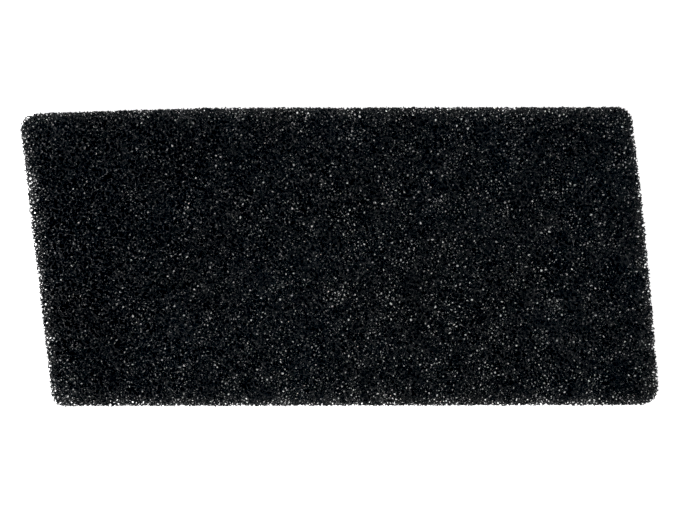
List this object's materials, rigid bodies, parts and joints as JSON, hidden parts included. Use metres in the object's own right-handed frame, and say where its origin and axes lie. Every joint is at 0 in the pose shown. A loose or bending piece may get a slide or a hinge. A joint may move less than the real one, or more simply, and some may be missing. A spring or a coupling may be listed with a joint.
{
  "type": "foam air filter element",
  "caption": "Flat die-cut pad of black open-cell foam with slanted ends and rounded corners, used as an air filter element.",
  "frame": {"origin": "centre of the outline's bounding box, in the downstream face that the pad lies on", "axes": "+X along the pad's length towards its bowed end, +Y across it towards the upper edge, which has the shoulder, +Z through its thickness, out of the upstream face"},
  "size_m": [0.2406, 0.1126, 0.008],
  "materials": {
    "foam": "black reticulated polyurethane foam: thin satin struts round open cells"
  },
  "bodies": {
    "root": {"foam_pad": "foam"}
  },
  "joints": []
}
